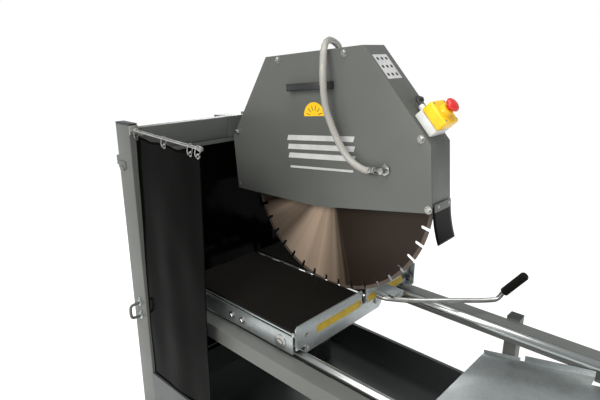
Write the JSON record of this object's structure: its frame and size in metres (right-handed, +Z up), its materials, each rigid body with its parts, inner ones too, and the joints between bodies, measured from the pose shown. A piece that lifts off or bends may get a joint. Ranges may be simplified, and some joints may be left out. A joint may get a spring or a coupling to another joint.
{
  "type": "masonry saw",
  "caption": "Masonry saw: guarded disc head on a tilt pivot over a rolling table on guide tubes, with water basin, splash curtains and emergency stop.",
  "frame": {"origin": "on the floor, under the centre of the overall length and width", "axes": "+X towards the operator, along the table's travel; +Y to the operator's right, away from the splash curtain; +Z up"},
  "size_m": [1.556, 0.8473, 1.5672],
  "materials": {
    "painted_frame": "satin powder coat, anthracite",
    "galvanised": "zinc-plated sheet, faint spangle",
    "chrome_tube": "bright hard-chromed tube",
    "bright_steel": "turned steel",
    "blade_steel": "ground steel disc with diamond segments",
    "black_plastic": "moulded, fine grain",
    "black_rubber": "matt rubber",
    "curtain_film": "glossy flexible film",
    "yellow_plastic": "moulded",
    "red_plastic": "moulded",
    "grey_plastic": "moulded",
    "motor_paint": "enamel",
    "clear_hose": "translucent milky hose"
  },
  "bodies": {
    "frame": {"left_side_beam": "painted_frame", "right_side_beam": "painted_frame", "rear_left_post": "painted_frame", "rear_right_post": "painted_frame", "front_left_leg": "painted_frame", "front_right_leg": "painted_frame", "rear_cross_beam": "painted_frame", "front_cross_beam": "painted_frame", "rear_top_beam_left": "painted_frame", "rear_top_beam_right": "painted_frame", "head_column": "painted_frame", "pivot_shaft": "galvanised", "left_guide_tube": "chrome_tube", "right_guide_tube": "chrome_tube", "water_basin": "painted_frame", "water_pump": "black_plastic", "drip_tray": "galvanised", "curtain_rod": "galvanised", "left_splash_curtain": "curtain_film", "rear_splash_curtain": "curtain_film", "post_lifting_handle": "galvanised", "switch_box": "grey_plastic"},
    "cutting_head": {"guard_body": "painted_frame", "guard_side_cover": "painted_frame", "guard_handle": "black_plastic", "front_flap": "black_rubber", "estop_base": "grey_plastic", "estop_cover": "yellow_plastic", "head_arm": "painted_frame", "spindle_housing": "bright_steel", "spindle_bearing_inner": "bright_steel", "spindle_bearing_outer": "bright_steel", "motor": "motor_paint", "drive_belt": "black_rubber", "belt_cover": "painted_frame", "hose_fitting": "galvanised", "water_hose": "clear_hose", "water_valve": "galvanised"},
    "rolling_table": {"table_side_left": "galvanised", "table_side_right": "galvanised", "table_deck": "galvanised", "mat_left": "black_rubber", "mat_right": "black_rubber", "fence": "galvanised", "push_handle": "galvanised", "handle_grip": "black_rubber"},
    "roller_rear_left": {"roller_rear_left": "black_plastic"},
    "roller_rear_right": {"roller_rear_right": "black_plastic"},
    "roller_front_left": {"roller_front_left": "black_plastic"},
    "roller_front_right": {"roller_front_right": "black_plastic"},
    "spindle": {"saw_spindle": "bright_steel", "blade_flange": "bright_steel", "saw_blade": "blade_steel", "spindle_pulley": "bright_steel"},
    "motor_shaft": {"motor_pulley": "bright_steel"},
    "estop_button": {"estop_button": "red_plastic"},
    "fence_knob": {"fence_knob": "black_plastic"},
    "head_lock_lever": {"head_lock_lever": "black_plastic"},
    "valve_lever": {"valve_lever": "red_plastic"},
    "basin_drain_plug": {"basin_drain_plug": "black_plastic"}
  },
  "joints": [
    {"name": "head_tilt", "type": "hinge", "parent": "frame", "child": "cutting_head", "pos_m": [-0.63, 0.17, 1.19], "axis": [0, -1, 0], "range_deg": [-2.5, 20]},
    {"name": "table_slide", "type": "slide", "parent": "frame", "child": "rolling_table", "axis": [1, 0, 0], "range_m": [-0.085, 0.52]},
    {"name": "roller_rear_left_spin", "type": "hinge", "parent": "rolling_table", "child": "roller_rear_left", "pos_m": [-0.508, -0.2545, 0.7515], "axis": [0, 1, 0], "range_deg": [-235, 1385]},
    {"name": "roller_rear_right_spin", "type": "hinge", "parent": "rolling_table", "child": "roller_rear_right", "pos_m": [-0.508, 0.2545, 0.7515], "axis": [0, 1, 0], "range_deg": [-235, 1385]},
    {"name": "roller_front_left_spin", "type": "hinge", "parent": "rolling_table", "child": "roller_front_left", "pos_m": [-0.11, -0.2545, 0.7515], "axis": [0, 1, 0], "range_deg": [-235, 1385]},
    {"name": "roller_front_right_spin", "type": "hinge", "parent": "rolling_table", "child": "roller_front_right", "pos_m": [-0.11, 0.2545, 0.7515], "axis": [0, 1, 0], "range_deg": [-235, 1385]},
    {"name": "blade_spin", "type": "hinge", "parent": "cutting_head", "child": "spindle", "pos_m": [-0.19278, 0.036, 1.13566], "axis": [0, 1, 0], "continuous": true},
    {"name": "motor_spin", "type": "hinge", "parent": "cutting_head", "child": "motor_shaft", "pos_m": [-0.40663, 0.11, 1.32202], "axis": [0, 1, 0], "continuous": true},
    {"name": "estop_press", "type": "slide", "parent": "cutting_head", "child": "estop_button", "axis": [-0.7354, 0, -0.6776], "range_m": [0, 0.004], "stiffness_N_per_m": 1500, "springref_m": -0.002},
    {"name": "fence_knob_turn", "type": "hinge", "parent": "rolling_table", "child": "fence_knob", "pos_m": [-0.045, 0.282, 0.771], "axis": [1, 0, 0], "range_deg": [-180, 180]},
    {"name": "lock_lever_turn", "type": "hinge", "parent": "frame", "child": "head_lock_lever", "pos_m": [-0.63, 0.213, 1.19], "axis": [0, 1, 0], "range_deg": [0, 40]},
    {"name": "valve_turn", "type": "hinge", "parent": "cutting_head", "child": "valve_lever", "pos_m": [-0.22229, 0.1366, 1.39], "axis": [0, 1, 0], "range_deg": [0, 90]},
    {"name": "plug_lift", "type": "slide", "parent": "frame", "child": "basin_drain_plug", "axis": [0, 0, 1], "range_m": [0, 0.05]}
  ],
  "couplings": [
    {"joint": "roller_rear_left_spin", "follows": "table_slide", "rad_per_m": 46.083},
    {"joint": "roller_rear_right_spin", "follows": "table_slide", "rad_per_m": 46.083},
    {"joint": "roller_front_left_spin", "follows": "table_slide", "rad_per_m": 46.083},
    {"joint": "roller_front_right_spin", "follows": "table_slide", "rad_per_m": 46.083},
    {"joint": "motor_spin", "follows": "blade_spin", "ratio": 1.8}
  ]
}
